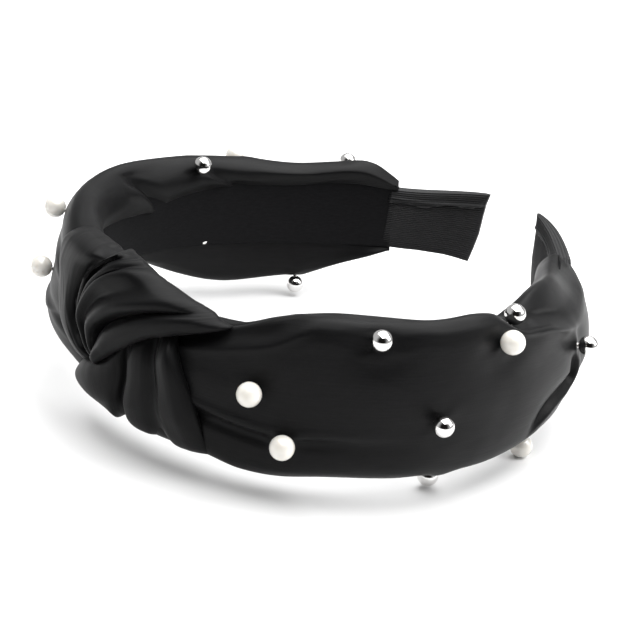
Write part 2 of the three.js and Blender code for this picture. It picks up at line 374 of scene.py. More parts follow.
def puckers(bead, from_seat, away):
    """Three soft rays round the rivet, turned differently at each bead."""
    turn = np.arctan2(from_seat @ np.cross(bead.axis, (0.3, 0.2, 0.9)), from_seat[..., 2])
    rays = np.cos(3 * turn + 40 * bead.centre[0] / MM)
    fade = smooth(away / (PUCKER_FROM * MM)) * bump(away / (PUCKER_REACH * MM))
    return PUCKER_HEIGHT * MM * rays * fade


def pin_to_bead(points, bead):
    """Draws the layer of cloth that the bead stands on level with its seat, where the rivet holds it."""
    from_seat = points - bead.seat
    rise = from_seat @ bead.axis
    away = np.linalg.norm(from_seat - rise[..., None] * bead.axis, axis=-1)
    near = (away < PIN_SEARCH[0] * MM) & (np.abs(rise) < PIN_SEARCH[1] * MM)
    if not near.any():
        return points
    top = rise[near].max()
    same_layer = smooth((rise - top + LAYER_BELOW[0] * MM) / (LAYER_BELOW[1] * MM))
    level = bump(away / (PIN_HELD * MM))
    pull = (PIN_RISE * MM - rise) * level - top * (bump(away / (PIN_REACH * MM)) - level)
    return points + bead.axis * ((pull + puckers(bead, from_seat, away)) * same_layer)[..., None]


# ---- Folds of the sleeves. Their lines lie on the cloth: angle, height ----
RIGHT_UPPER_FOLD = [(8, 4), (13, 6.3), (18, 8.6), (25, 11.6), (30, 14), (37, 20), (60, 24)]
RIGHT_LOWER_FOLD = [(8, -7), (18, -7.8), (23, -8.6), (30, -9.4), (44, -8.2), (60, -8), (138, -8)]
RIGHT_PLEAT = [(60, 24), (72, 20), (80, 16.6), (88, 13.8), (97, 10), (110, 6), (138, 4)]
# Where the front panel's end lies over the layer beneath, near the right tip.
RIGHT_END_CREASE = [(100, 4), (101, 1), (101.5, -3), (100.5, -6), (97.5, -7.6), (94, -8.6), (91, -10),
                    (88, -13), (85, -17)]
LEFT_DRAPE = [(8, 12), (50, 9), (76, 4.6), (100, -1), (138, -4)]
LEFT_CREASE = [(15, -3.4), (20, -4.6), (26, -6.4), (32, -8.4)]
# On the left arm's upper flap, inside the band: its lobe lies over the length beyond it.
LOBE_CREASE = [(74, 3.5), (72.5, 6), (69, 9.6), (64, 13.6), (58, 17)]
FLAP_CREASE = [(98, 6), (95, 10), (90, 13), (86, 15.5)]
MM_PER_DEGREE = 1.25
CREASE_STEPS = 400


def crease(angle, height, path, width, depth):
    """One layer lying over another along a path: proud on the path's left, a sharp drop on its right."""
    path = spline(path, CREASE_STEPS)
    across = (angle[..., None] - path[:, 0]) * MM_PER_DEGREE
    up = height[..., None] - path[:, 1]
    nearest = np.argmin(across**2 + up**2, axis=-1)
    tangent = np.gradient(path, axis=0)
    tangent = tangent * (MM_PER_DEGREE, 1)
    tangent = tangent / np.linalg.norm(tangent, axis=1, keepdims=True)
    pick = lambda a: np.take_along_axis(a, nearest[..., None], -1)[..., 0]
    side = pick(across) * tangent[nearest, 1] - pick(up) * tangent[nearest, 0]
    away = np.sqrt(pick(across) ** 2 + pick(up) ** 2)
    signed = np.where(side > 0, away, -away) / width
    run = nearest / (CREASE_STEPS - 1)
    ends = smooth(run / 0.2) * smooth((1 - run) / 0.25)
    proud = 0.45 * bump((signed + 0.5) / 0.7)
    sunk = smooth((signed + 0.2) / 0.5) * bump(np.maximum(signed - 0.2, 0) / 1.3)
    return depth * ends * (proud - sunk) * bump(away / (3.2 * width))


def ridge_line(height, centre, width, depth):
    """A lengthwise fold: proud below its line and sunk above it."""
    x = (height - centre) / width
    return depth * (0.5 * bump((x + 0.55) / 0.6) - bump((x - 0.7) / 0.9))


def flap_folds(side, angle, height):
    """Folds of the upper flap, on the inner side of the left arm only."""
    if side > 0:
        return 0 * angle
    return crease(angle, height, LOBE_CREASE, 2.6, 2.6) + crease(angle, height, FLAP_CREASE, 2.2, 1.0)


def right_folds(angle, height):
    """Folds on the outer face that run out of the knot, and the pleat and the crease near the tip."""
    upper, lower, pleat = (
        along(path, angle[0])[:, 0] for path in (RIGHT_UPPER_FOLD, RIGHT_LOWER_FOLD, RIGHT_PLEAT))
    lift = ridge_line(height, upper, 2.4, 1.4) * fading(angle, 32, 40)
    lift = lift + ridge_line(-height, -lower, 2.4, 1.6) * fading(angle, 30, 62)
    lift = lift + ridge_line(height, pleat, 1.6, 1.5) * fading(angle, 80, 72) * fading(angle, 92, 112)
    return lift + crease(angle, height, RIGHT_END_CREASE, 2.2, 1.7)


def left_folds(angle, height):
    """Two folds on the outer face that run out of the knot, two along the middle of the arm, and a crease."""
    drape = along(LEFT_DRAPE, angle[0])[:, 0]
    lift = ridge_line(height, 6 + 0.15 * (angle - 20), 2.2, 0.8) * fading(angle, 26, 46)
    lift = lift + ridge_line(height, -6 + 0.1 * (angle - 20), 1.8, 0.6) * fading(angle, 30, 50)
    lift = lift + ridge_line(height, drape, 2.2, 1.0) * fading(angle, 66, 50) * fading(angle, 104, 130)
    lift = lift + ridge_line(-height, 3 - drape, 1.8, 0.6) * fading(angle, 98, 84) * fading(angle, 126, 136)
    return lift + crease(angle, height, LEFT_CREASE, 1.4, 0.35)


# ---- Sleeves: lengthwise lines from the lower hem round the outside to the upper hem ----
# Each line is rows of angle, offset, height.
RIGHT_LINES = [
    [(8, -1.5, -9), (60, -1.5, -9), (110, -1.6, -8.5), (138, -1.6, -8)],
    [(8, -2.6, -12), (60, -2.6, -12), (100, -3.5, -13), (125, -5, -10.5), (138, -4.5, -8.5)],
    [(8, -1, -19), (30, -1, -20), (60, -1, -19), (88, -1.5, -20), (104, -2, -18), (120, -3.6, -13),
     (138, -3, -9.8)],
    [(8, 2, -22.4), (18, 2, -21.8), (26, 2, -23.2), (34, 2, -22.9), (41, 2, -21.7), (49, 2, -21.5),
     (58, 2, -21.7), (73, 2, -21.9), (86, 2.5, -21.6), (96, 3, -20), (106, 3.2, -17.4), (116, 2.8, -14.8),
     (128, 1.5, -12.3), (138, 0, -10.6)],
    [(8, 5.5, -18.8), (18, 6, -18.6), (28, 6, -19.2), (41, 6.2, -18.4), (60, 6.3, -18.4), (78, 7, -18.8),
     (90, 7.8, -17.4), (100, 7.6, -15.4), (110, 6.8, -12.8), (124, 5.2, -10), (138, 2, -8.8)],
    [(8, 7.5, -11), (30, 8.5, -11.5), (60, 9, -11.5), (84, 9.6, -13), (96, 9.9, -12.4), (106, 9.5, -9),
     (116, 8.6, -7), (126, 7.2, -6), (138, 3.4, -5)],
    [(8, 8, -2), (24, 9.2, -1), (40, 10, 0), (70, 10.2, 0), (90, 10.4, -2), (100, 11, -2.4),
     (110, 10.6, -2.6), (118, 9.4, -2.2), (126, 7.8, -1), (138, 3.8, -0.5)],
    [(8, 7, 4), (22, 8, 6), (34, 9.4, 11), (60, 9.5, 12), (74, 9.2, 12), (84, 9, 9.5), (94, 9, 6.5),
     (106, 9, 4.5), (118, 7.8, 4), (138, 3, 4.5)],
    [(8, 5.5, 8), (22, 6.6, 10.8), (30, 7.8, 14.8), (36, 8.9, 16.6), (48, 9.2, 17), (60, 9.1, 16.6),
     (68, 8.8, 17.4), (73, 8.4, 18), (78, 8, 16.6), (82, 7.8, 15), (86, 7.8, 13.4), (92, 8, 11.6),
     (98, 8.1, 9.8), (106, 7.6, 8.2), (116, 6.4, 7.4), (126, 5, 7), (138, 2, 7)],
    [(8, 4, 9.8), (22, 5, 12.4), (30, 6.2, 17), (36, 7.2, 19.4), (48, 7.3, 20), (60, 7.3, 19.4),
     (68, 7, 20.2), (73, 6.4, 19.9), (78, 5.6, 17.6), (82, 5, 15.4), (86, 4.6, 13.8), (92, 4.4, 12.6),
     (98, 4.2, 12), (106, 3.8, 11), (116, 3.1, 9.8), (126, 2.4, 9), (138, 1.2, 8.4)],
    [(8, 2, 11), (22, 2.8, 12.8), (30, 3.4, 17.6), (38, 4, 20.2), (48, 4, 20.7), (60, 4, 20.2),
     (68, 3.6, 20.6), (73, 2.8, 19.7), (78, 1.8, 17.6), (84, 0.6, 15.6), (88, -0.4, 16.4), (92, -1, 17.2),
     (98, -1.6, 17.5), (106, -2.2, 16.3), (116, -3, 13.6), (128, -3.8, 11.2), (138, -3.2, 9.8)],
    [(8, -1, 11), (22, -0.8, 12.6), (36, 0.6, 18.8), (60, 0.4, 18.4), (72, -1.4, 17), (80, -3, 14.2),
     (88, -4, 14.6), (98, -5, 14.8), (106, -6, 13), (118, -7.4, 10.4), (128, -7.6, 8.4), (138, -6.8, 6)],
    [(8, -2.6, 10.6), (40, -2.8, 13), (70, -3, 12), (90, -4.8, 11), (104, -6.2, 9.4), (118, -7.4, 6.6),
     (130, -7.2, 3.8), (138, -6.8, 0)],
    [(8, -1.6, 9.5), (60, -1.6, 9.8), (90, -1.8, 9.6), (110, -2.2, 7), (124, -2.6, 4), (138, -3, -1)],
]
LEFT_LINES = [
    [(8, -0.8, -5.6), (60, -0.8, -5.2), (80, -0.8, -5.4), (100, -0.8, -5.8), (124, -0.8, -6.6),
     (138, -0.8, -6.6)],
    [(8, -1.4, -9.2), (60, -1.6, -8.3), (80, -2, -9.4), (100, -2.4, -10.6), (124, -2.2, -10.6),
     (138, -1.6, -9.2)],
    [(8, -1, -14), (30, -1, -13), (50, -1, -9.5), (66, -1.2, -9.6), (78, -1.5, -13), (92, -2.4, -18.5),
     (106, -2.6, -19), (118, -2.6, -17.5), (138, -2.6, -10.2)],
    [(8, 2, -18), (22, 2.5, -16), (35, 2.5, -12.5), (50, 2.5, -10.5), (64, 2, -10), (72, 1.5, -11.7),
     (78, 1, -14.8), (84, 1, -18), (96, 1, -21.8), (108, 1, -21.3), (116, 1, -20.7), (126, 0.8, -15.8),
     (133, 0.6, -13.2), (138, 0.4, -10.8)],
    [(8, 6, -15), (22, 6.5, -13.5), (35, 7, -11.5), (50, 6, -9), (66, 5, -9), (78, 5, -12.5),
     (94, 5.6, -17.5), (114, 5.6, -17), (126, 4.4, -13), (138, 2, -9)],
    [(8, 7.5, -10), (22, 8.9, -9.6), (31, 9.4, -7.6), (37, 8.8, -6.4), (46, 7.4, -5), (60, 6.6, -5),
     (80, 7, -7.5), (96, 8, -10), (114, 8, -10), (126, 6.4, -8), (138, 3.4, -5)],
    [(8, 7.5, 0), (20, 9.2, -2), (28, 8.9, -1), (35, 7.6, 0.5), (44, 7, 2), (60, 7, 2), (80, 7.6, 0),
     (96, 8.4, 0), (114, 8.2, 0), (126, 7, 0), (138, 3.8, 0)],
    [(8, 7, 9), (20, 8, 8), (28, 7.4, 8.6), (38, 6.9, 9.5), (50, 6.7, 10.5), (66, 6.6, 11), (88, 7.2, 9.5),
     (112, 7, 8), (128, 6, 8), (138, 3, 5)],
    [(8, 5.4, 14), (22, 5.4, 15), (36, 4.9, 16.6), (50, 4.6, 16.8), (66, 4.6, 16.8), (88, 5, 15.6),
     (112, 5, 13), (128, 4.4, 13.4), (138, 1.6, 9.4)],
    [(8, 2, 16), (22, 2, 17), (36, 2, 19.4), (50, 2, 19.5), (67, 2, 19.6), (77, 2, 19.1), (88, 2, 18.6),
     (98, 1.8, 17.4), (113, 1.4, 15.7), (122, 1.2, 16.3), (129, 0.8, 17.3), (132, 0.4, 16.4),
     (135, 0, 14.4), (138, -0.4, 12.2)],
    [(8, -1.5, 15), (22, -2, 16.4), (36, -2.6, 18.2), (50, -3, 17.2), (70, -3, 15.8), (88, -3.2, 16.4),
     (113, -3.8, 14.2), (129, -4, 15), (138, -2.8, 10.8)],
    [(8, -3, 11), (22, -3.4, 12), (36, -4.6, 12.8), (50, -5.2, 11.5), (70, -4.4, 10), (88, -4.2, 12.2),
     (113, -3.7, 12), (128, -3.7, 12.6), (138, -2.7, 10.4)],
    [(8, -2, 8), (36, -2.4, 8), (50, -2.6, 6.4), (60, -2.3, 5.2), (71, -2.2, 5.2), (81, -2.2, 7.8),
     (92, -2.2, 9.6), (112, -2.2, 9.7), (126, -2.2, 10.8), (138, -2.2, 9.4)],
]
SLEEVE_START = -5  # beneath the knot
KNOT_EDGE = 8      # from here inwards the lines keep their shape and draw in
SLEEVE_STEPS = 400
SLEEVE_STEPS_ACROSS = 210


def sleeve_points(side, lines):
    """The outside of one arm's cloth, round the band by along it."""
    angles = np.linspace(SLEEVE_START, SLEEVE_END, SLEEVE_STEPS)
    sections = np.stack([along(rows, np.maximum(angles, KNOT_EDGE)) for rows in lines])
    drawn_in = 1 - 0.3 * smooth((KNOT_EDGE - angles) / 10)
    sections = spline(sections, SLEEVE_STEPS_ACROSS) * drawn_in[:, None]
    offset, height = sections[..., 0], sections[..., 1]
    angle = np.broadcast_to(angles, offset.shape)
    outer_folds = right_folds if side > 0 else left_folds
    outer = smooth((offset - 1) / 3)
    inner = smooth((-offset - 0.4) / 1.5)
    offset = offset + outer * outer_folds(angle, height) - inner * flap_folds(side, angle, height)
    points = band(side * angle, offset, height)
    around = np.broadcast_to(np.linspace(0, 1, offset.shape[0])[:, None], offset.shape)
    ripple = 0.2 * waves(angle / 12, around * 16, 3 + side) + 0.05 * waves(angle / 4, around * 26, 11 + side)
    return points - grid_normals(points) * side * (ripple * MM)[..., None]


def blend_at_flex(piece, side):
    """Bakes the cloth's placement into its mesh; the cloth is not made to bend at the flex point."""
    start, end = (band(side * angle, 0, 0) for angle in BEND_ANGLES)
    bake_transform(piece)


def sleeve(side, lines):
    """One arm's cloth, from beneath the knot to the tip's ribbon."""
    name = side_name(side)
    points = sleeve_points(side, lines)
    for bead in beads:
        if bead.body == name + "_arm":
            points = pin_to_bead(points, bead)
    piece = mesh_from_grid(name + "_sleeve_cloth", points.transpose(1, 0, 2), satin, flip=side < 0)
    thicken(piece, SATIN_THICKNESS)
    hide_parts(name + "_sleeve")
    blend_at_flex(piece, side)


# ---- The knot: gathered straps, each a set of fold lines that run down to where they tuck in ----
# Each fold line is stations of angle, offset, height; neighbouring lines are ridges and valleys.
OVER_WRAP = [
    [(-5, 5, -9), (-6.5, 7.6, -7), (-9, 7.6, -3.5), (-12, 7.6, 1), (-11.6, 7.6, 7.5), (-8, 7.6, 14.5),
     (-3.8, 6.4, 19.8), (-4.5, 2.5, 20), (-5, -0.5, 19), (-5, -2.5, 12.4), (-6, -3.6, 4)],
    [(-4, 6, -9), (-6, 8.6, -6.5), (-8.5, 9, -3), (-11, 9.2, 1.5), (-9.8, 9.6, 8), (-7, 9.8, 15),
     (-2.6, 8.2, 20.2), (-2.4, 4, 20.6), (-2.9, 1, 19.6), (-3, -2.7, 13.4), (-3, -3.8, 4)],
    [(-4, 5.5, -8.5), (-5.8, 9, -6), (-8, 9.6, -2.5), (-9.8, 9.8, 2), (-9.3, 6.6, 8.5), (-8, 4.6, 13.4),
     (-3.8, 7.8, 18.6), (0, 4.4, 20.4), (-0.5, 1.4, 19.4), (-1, -2.5, 13.4), (-1.5, -3.5, 4)],
    [(-4, 6, -8), (-5.4, 9.8, -6), (-7.6, 10.4, -2), (-8.8, 10.8, 2.5), (-7.5, 10.6, 9.5),
     (-5, 10.2, 14.6), (-1.2, 8.8, 19), (1.6, 5.2, 20.6), (1.1, 2.2, 19.6), (0.8, -2.7, 13.4),
     (0, -3.8, 4)],
    [(-4, 6, -8), (-5.2, 9.8, -5.8), (-7.3, 10.4, -1.8), (-8.4, 10.8, 3), (-6.4, 10.4, 10),
     (-3.6, 9.6, 14.8), (0.4, 8.4, 18.6), (3, 4.8, 19.6), (2.5, 1.8, 18.6), (2.2, -2.5, 13),
     (1.5, -3.5, 4)],
    [(-4, 6, -8), (-5, 10.2, -5.5), (-7, 11, -1.5), (-8, 11.6, 3.5), (-5.3, 11.8, 10.8), (-2, 11.2, 15.6),
     (2.5, 9.4, 19), (4.8, 5.5, 19.3), (4.3, 2.5, 18.3), (4, -2.7, 12.8), (3, -3.8, 4)],
    [(-3.8, 6, -8), (-4.5, 9.8, -5), (-6.3, 10, -1), (-6.8, 10, 3.5), (-3.8, 9.9, 9.4), (1, 10.2, 13.8),
     (6, 9, 17.2), (8, 5.1, 18), (7.5, 2.1, 17), (7, -2.5, 12), (6, -3.6, 4)],
    [(-3.6, 6, -8), (-4, 10.6, -4.6), (-4.6, 11.8, -0.5), (-3.8, 12.6, 3.8), (0.2, 12.9, 9.4),
     (5.5, 12.3, 13.5), (11, 9.6, 16.2), (13.5, 5.4, 16.5), (13, 2.4, 15.5), (12.5, -2.6, 10.8),
     (11, -3.7, 4)],
    [(-3.6, 6, -8), (-3.8, 10.2, -4.6), (-4, 11, 0), (-2.6, 11.4, 4), (1.8, 11.2, 8.8), (7.5, 10.6, 12.6),
     (13.5, 8.6, 15), (16, 5, 15.5), (15.5, 2, 14.5), (15, -2.5, 10), (14, -3.6, 4)],
    [(-3.6, 5.5, -8), (-3.4, 9.6, -4.4), (-3.2, 9.2, 0.5), (-1.4, 7.8, 4.4), (3.2, 7.4, 8.4), (9, 8, 12.3),
     (15, 7.8, 14.3), (18, 4.8, 14.8), (17.5, 1.8, 13.8), (17, -2.5, 9.4), (16, -3.5, 4)],
    [(-3.5, 6, -8), (-3, 11.2, -4.8), (-1.8, 11.6, -0.6), (0.3, 11.8, 3.4), (5, 11.7, 8.2),
     (10.5, 11.2, 11.8), (16, 9.3, 13.8), (19, 5.3, 14.2), (18.5, 2.3, 13.2), (18, -2.6, 9.2),
     (17, -3.7, 4)],
    [(-3.2, 6, -8.5), (-2.8, 11.8, -5.6), (-0.6, 12.4, -1.6), (2, 12.4, 2), (7, 12, 6.8), (12.5, 11, 10.6),
     (17.8, 8.8, 13), (20.2, 5.2, 13.4), (19.7, 2.2, 12.4), (19.4, -2.6, 8.8), (18.4, -3.6, 4)],
    [(-3, 5.5, -9), (-3, 10.2, -6.8), (0, 10.2, -2.9), (2.8, 10.2, 0.5), (8, 9.8, 5.8), (13.8, 9.2, 9.5),
     (18.8, 7.4, 11.9), (21.6, 4.6, 12.7), (21.1, 1.6, 11.7), (20.6, -2.2, 8.4), (19.6, -3.4, 4)],
    [(-3, 4.5, -8), (-2.6, 6.8, -5.6), (0.2, 6.4, -1.6), (2.8, 6.2, 2), (8, 6, 7.2), (13.6, 5.8, 10.6),
     (18.2, 4.8, 12.2), (20.8, 2.8, 12.2), (20.3, -0.2, 11.2), (20, -1.6, 7.8), (19, -3, 4)],
]
SIDE_WRAP = [
    [(-5, -3.2, 4), (-3, -2, 16.4), (-2.4, 2, 18.2), (-1.6, 5.2, 18), (-6.6, 6, 14), (-9.4, 6, 10.2),
     (-12, 6, 4.4), (-12.4, 6, 0.8), (-10.8, 6, -3.4), (-8.4, 6, -6.4), (-5.6, 4.6, -10)],
    [(-8, -3.2, 4), (-9, -2, 15.6), (-9, 2, 17.6), (-6.6, 6.4, 17.6), (-9.6, 6.6, 14), (-11.2, 6.6, 10.2),
     (-13.2, 6.6, 4.4), (-13.4, 6.6, 0.8), (-11.6, 6.6, -3.4), (-9, 6.6, -6.4), (-6, 5, -10)],
    [(-11, -3.6, 4), (-12, -2.3, 16), (-11.4, 2.6, 18.2), (-8.8, 7.8, 17.8), (-11.2, 8.6, 13.8),
     (-12.4, 8.8, 10), (-13.8, 8.8, 4), (-13.4, 8.8, -0.2), (-11.2, 8.8, -4.2), (-8.4, 8.6, -6.9),
     (-6, 6, -10)],
    [(-14, -3.6, 4), (-15.4, -2.3, 16), (-15, 2.8, 18), (-12.4, 7.6, 17.4), (-14, 9, 13),
     (-14.2, 9.5, 9.2), (-14.5, 9.7, 3), (-13.8, 9.7, -1.2), (-11.4, 9.7, -4.9), (-8.5, 9.4, -7.3),
     (-6.2, 6.4, -10)],
    [(-17, -3.6, 4), (-19.4, -2.2, 15.6), (-19.4, 2.6, 17.6), (-17.2, 7.2, 16.6), (-17.6, 9.1, 11.4),
     (-16.4, 9.7, 8), (-15.4, 9.9, 2), (-14.2, 9.9, -2.6), (-11.7, 9.9, -5.6), (-8.8, 9.4, -7.9),
     (-6.6, 6.4, -10.4)],
    [(-18.6, -3.4, 4), (-21.4, -2.2, 15.2), (-21.8, 2.4, 17.2), (-20.6, 7, 15.8), (-20.2, 8.9, 11),
     (-18.2, 9.6, 7), (-17, 9.8, 1.4), (-15.6, 9.8, -3.4), (-12.7, 9.6, -6.4), (-9.4, 9, -8.6),
     (-7, 6.4, -10.8)],
    [(-20, -3.4, 4.5), (-23.6, -2.2, 14.8), (-24, 2, 16.6), (-23.2, 6.8, 14.8), (-22, 8.3, 11),
     (-20.2, 8.8, 6.4), (-19.2, 9.1, 1), (-17.6, 9.1, -3.8), (-14.4, 8.8, -7.2), (-10.6, 8, -9.6),
     (-7.6, 5.6, -11.4)],
    [(-21.4, -3, 5), (-25.4, -1.8, 14), (-26, 1.2, 15.6), (-25.6, 5, 13.4), (-24.2, 6.6, 9.4),
     (-22.2, 7.2, 4.6), (-21, 7.4, -0.6), (-19, 7.2, -5), (-15.6, 6.6, -8.4), (-11.4, 6, -10.8),
     (-8.4, 4.5, -12)],
]
UNDER_WRAP = [
    [(-9, 4.5, -8), (-11, 6, -11.5), (-13, 6, -16.5), (-10.5, 5, -19), (-8, 2, -19), (-7, -2.4, -15),
     (-6, -3.6, -5)],
    [(-7.5, 6.5, -7), (-9.4, 8.6, -11), (-11, 8.8, -15.8), (-8.4, 7.6, -18.8), (-6.6, 3.4, -21),
     (-5.5, -2.4, -16), (-5, -3.8, -5)],
    [(-5, 7, -6), (-5.5, 10.2, -9.5), (-4.8, 10.6, -14), (-4, 8.6, -18.2), (-4, 3.6, -21.4),
     (-3, -2.4, -16.5), (-3, -3.8, -5)],
    [(-2, 7, -3), (-0.8, 10.2, -6), (-0.4, 10.2, -11), (-0.4, 9, -16.5), (-1.5, 4, -22.4), (-1, -2.4, -17),
     (-1, -3.8, -5)],
    [(1.5, 6, 2), (1.6, 9.2, -2), (1.6, 9, -8), (1, 8.2, -15.6), (-0.4, 3.4, -21.4), (0.2, -2.4, -16.5),
     (0, -3.7, -5)],
    [(2.8, 5.5, 4), (2.8, 7.2, -1), (2.8, 7, -7.4), (1.9, 6.6, -15), (0.7, 2.6, -20.2), (1, -2.2, -16),
     (1, -3.5, -5)],
    [(4.8, 7, 6), (4.8, 10, 0), (4.8, 10.2, -7), (4, 9.2, -15), (3, 4, -21.8), (4, -2.4, -17),
     (4, -3.8, -5)],
    [(7, 7, 7), (7.6, 10.4, 1.5), (8, 10.8, -5.5), (7.6, 9.6, -14), (7, 3.8, -22.2), (8, -2.4, -17),
     (8, -3.8, -5)],
    [(8.8, 6.5, 8), (9.6, 9.2, 1), (10.4, 9.3, -5), (10.8, 8.8, -13), (10.6, 3, -21), (11, -2.3, -16.5),
     (11, -3.6, -5)],
    [(10.4, 7.5, 8.5), (11.4, 11.3, 2.5), (12.4, 11.4, -4.5), (13, 10, -13), (13.6, 4, -22),
     (14, -2.4, -17), (14, -3.8, -5)],
    [(12, 7.5, 9), (13.5, 12, 4), (15.2, 12, -4), (16.8, 10.6, -13), (17.6, 4.2, -21.6), (18, -2.4, -17),
     (17, -3.8, -5)],
    [(12.6, 6, 8), (14.6, 9, 3), (17.6, 9, -5.4), (19.8, 8, -14), (20.6, 3.4, -20.8), (20, -2.2, -16.5),
     (19, -3.6, -5)],
    [(11, 4, 8), (13, 5, 2.5), (16, 5, -6), (18, 4.4, -14), (18.6, 1.4, -18.4), (18.6, -1.6, -15),
     (18, -3, -5)],
]
INNER_STRAP = [
    [(-15, -2.4, 13), (-15.5, -3.4, 8), (-15.5, -3.6, 0), (-14, -3.4, -8), (-11, -2.4, -13)],
    [(-12, -2.8, 13.4), (-12.4, -4.4, 8), (-12, -4.6, 0), (-11, -4.4, -8), (-8, -2.8, -13.4)],
    [(-8, -2.8, 13.4), (-8, -4, 8), (-7.6, -4, 0), (-7, -4, -8), (-5, -2.8, -13.4)],
    [(-4, -3, 13.4), (-4, -4.7, 8), (-3.6, -4.8, 0), (-3, -4.6, -8), (-1, -3, -13.6)],
    [(1, -2.8, 12.6), (0.6, -4, 8), (0.6, -4, 0), (1, -4, -8), (3, -2.8, -13.6)],
    [(6, -3, 11.6), (5, -4.7, 7.4), (5, -4.8, 0), (5.6, -4.6, -8), (8, -3, -13.6)],
    [(11, -2.8, 10.6), (9.6, -4.2, 7), (9.6, -4.2, 0), (10.4, -4.2, -8), (13, -2.8, -13.6)],
    [(16, -2.8, 10), (14, -4.6, 6.6), (13.4, -4.8, 0), (14.6, -4.6, -8), (17.4, -2.8, -13.4)],
    [(20, -2.2, 9.6), (17.6, -3.2, 6.4), (16.6, -3.4, 0), (17.6, -3.2, -8), (20, -2.2, -13)],
]
STEPS_PER_LINE = 16
STEPS_PER_STATION = 22


def strap(name, lines, replaced, seed):
    """A gathered strap of the knot through its fold lines, with fine wrinkles along them."""
    keys = np.asarray(lines, float)
    across = spline(keys, STEPS_PER_LINE * len(keys))
    surface = spline(across.transpose(1, 0, 2), STEPS_PER_STATION * keys.shape[1])
    points = band(surface[..., 0], surface[..., 1], surface[..., 2])
    rows, cols = points.shape[:2]
    down, over = np.meshgrid(np.linspace(0, 1, rows), np.linspace(0, len(keys), cols), indexing="ij")
    wrinkles = 0.09 * waves(down * 5, over * 1.3, seed) + 0.03 * waves(down * 9, over * 3, seed + 1)
    points = points + grid_normals(points) * (wrinkles * MM)[..., None]
    piece = mesh_from_grid(name, points, satin)
    thicken(piece, SATIN_THICKNESS)
    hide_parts(replaced)
    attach(piece, "crown")


# ---- Lining: a strip glued inside each half of the core. Its edges, by angle: height ----
LINING_TOP = [(0, 10.4), (90, 10.4), (105, 11.8), (130, 11.4), (138, 9.8)]
LINING_BOTTOM = [(0, -9.6), (50, -8), (66, -7.6), (90, -8.8), (124, -9.4), (138, -9.2)]
LINING_OFFSET = -1.6


def lining_strip(side):
    """The lining of one arm and its half of the crown, slightly domed."""
    name = side_name(side)
    angles = np.linspace(0, SLEEVE_END - 0.4, 220)
    angle, part = np.meshgrid(angles, np.linspace(-1, 1, 40), indexing="ij")
    top = np.interp(angle, *np.transpose(LINING_TOP))
    bottom = np.interp(angle, *np.transpose(LINING_BOTTOM))
    height = bottom + (top - bottom) * (part + 1) / 2
    offset = LINING_OFFSET - 0.25 * (1 - part**2) + 0.05 * waves(angle / 5, part * 3, 21)
    piece = mesh_from_grid(name + "_lining_strip", band(side * angle, offset, height), lining, flip=side < 0)
    thicken(piece, LINING_THICKNESS)
    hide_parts(name + "_arm_lining", "crown_lining")
    blend_at_flex(piece, side)


# ---- Ribbon round the tip, by angle: upper edge, lower edge, half its thickness ----
RIBBON_EDGES = [
    (130, 9.4, -8.8, 1.2), (135.8, 9.5, -9, 1.2), (136.4, 9.7, -9.2, 2.3), (148, 9.3, -10, 2.3),
    (158, 9.1, -11.4, 2.0), (164, 9.2, -12.6, 1.4), (168, 9.5, -13.4, 0.7),
]
# Where its end lies at each height: height, angle.
RIBBON_END = [(-14, 163.4), (-9, 164.8), (-4, 166), (2, 166.5), (6, 167), (9.5, 168)]
RIBBON_START = 130
RIBBON_FLATNESS = 0.3
RIBBON_TURNS = 360
TURNED_WIDTH = 4.4
RIB_PITCH = 0.62
RIB_HEIGHT = 0.15


def even_girth():
    """Lengths round a typical ribbon section at even steps, and the turn at each."""
    turn = np.linspace(0, 2 * np.pi, 2001)
    section = np.stack([squared_off(np.cos(turn), RIBBON_FLATNESS) * 2, np.sin(turn) * 10], 1)
    step = np.linalg.norm(np.diff(section, axis=0), axis=1)
    girth = np.concatenate([[0], np.cumsum(step)])
    even = np.linspace(0, girth[-1], RIBBON_TURNS + 1)[:-1]
    return even[:, None], np.interp(even, girth, turn)[:, None]


def turned_edge(angles, below_top, inward):
    """How far the upper edge, turned over on the inner side, stands off there, with two pinches along it."""
    edge = TURNED_WIDTH - 0.5 * np.sin(angles / 2.4)
    turned = smooth((edge - below_top) / 0.35) * smooth(inward / 0.5)
    upper_pinch = bump((2.2 + 0.05 * (angles - 136) - below_top) / 0.5)
    lower_pinch = 0.6 * bump((3.3 - below_top) / 0.4)
    closing = smooth((TIP_ANGLE + 1 - angles) / 3)
    return turned * (0.55 + 0.4 * (upper_pinch + lower_pinch)) * closing


def ribbon_points(side):
    """The ribbon's face, round its section by along the tip, closed at its slanted end."""
    angles = np.linspace(RIBBON_START, TIP_ANGLE, 120)
    upper, lower, half = (np.interp(angles, *np.array(RIBBON_EDGES)[:, [0, k]].T) for k in (1, 2, 3))
    girth, turn = even_girth()
    height = (upper + lower) / 2 + (upper - lower) / 2 * np.sin(turn)
    offset = squared_off(np.cos(turn), RIBBON_FLATNESS) * half
    offset = offset - turned_edge(angles, upper - height, -offset / half)
    end = np.interp(height[:, -1:], *np.transpose(RIBBON_END))
    angle = RIBBON_START + (angles - RIBBON_START) * (end - RIBBON_START) / (TIP_ANGLE - RIBBON_START)
    ribs = RIB_HEIGHT * np.cos(2 * np.pi * girth / RIB_PITCH) * smooth((TIP_ANGLE - angles) / 2)
    shape = band(side * angle, offset, height)
    shape = shape - grid_normals(shape) * side * (ribs * MM)[..., None]
    tip = side * angle[:, -1:], offset[:, -1:], height[:, -1:]
    closing = [band(tip[0], tip[1] * thinner, tip[2]) for thinner in (0.7, 0.35, 0.02)]
    return np.concatenate([shape] + closing, 1)


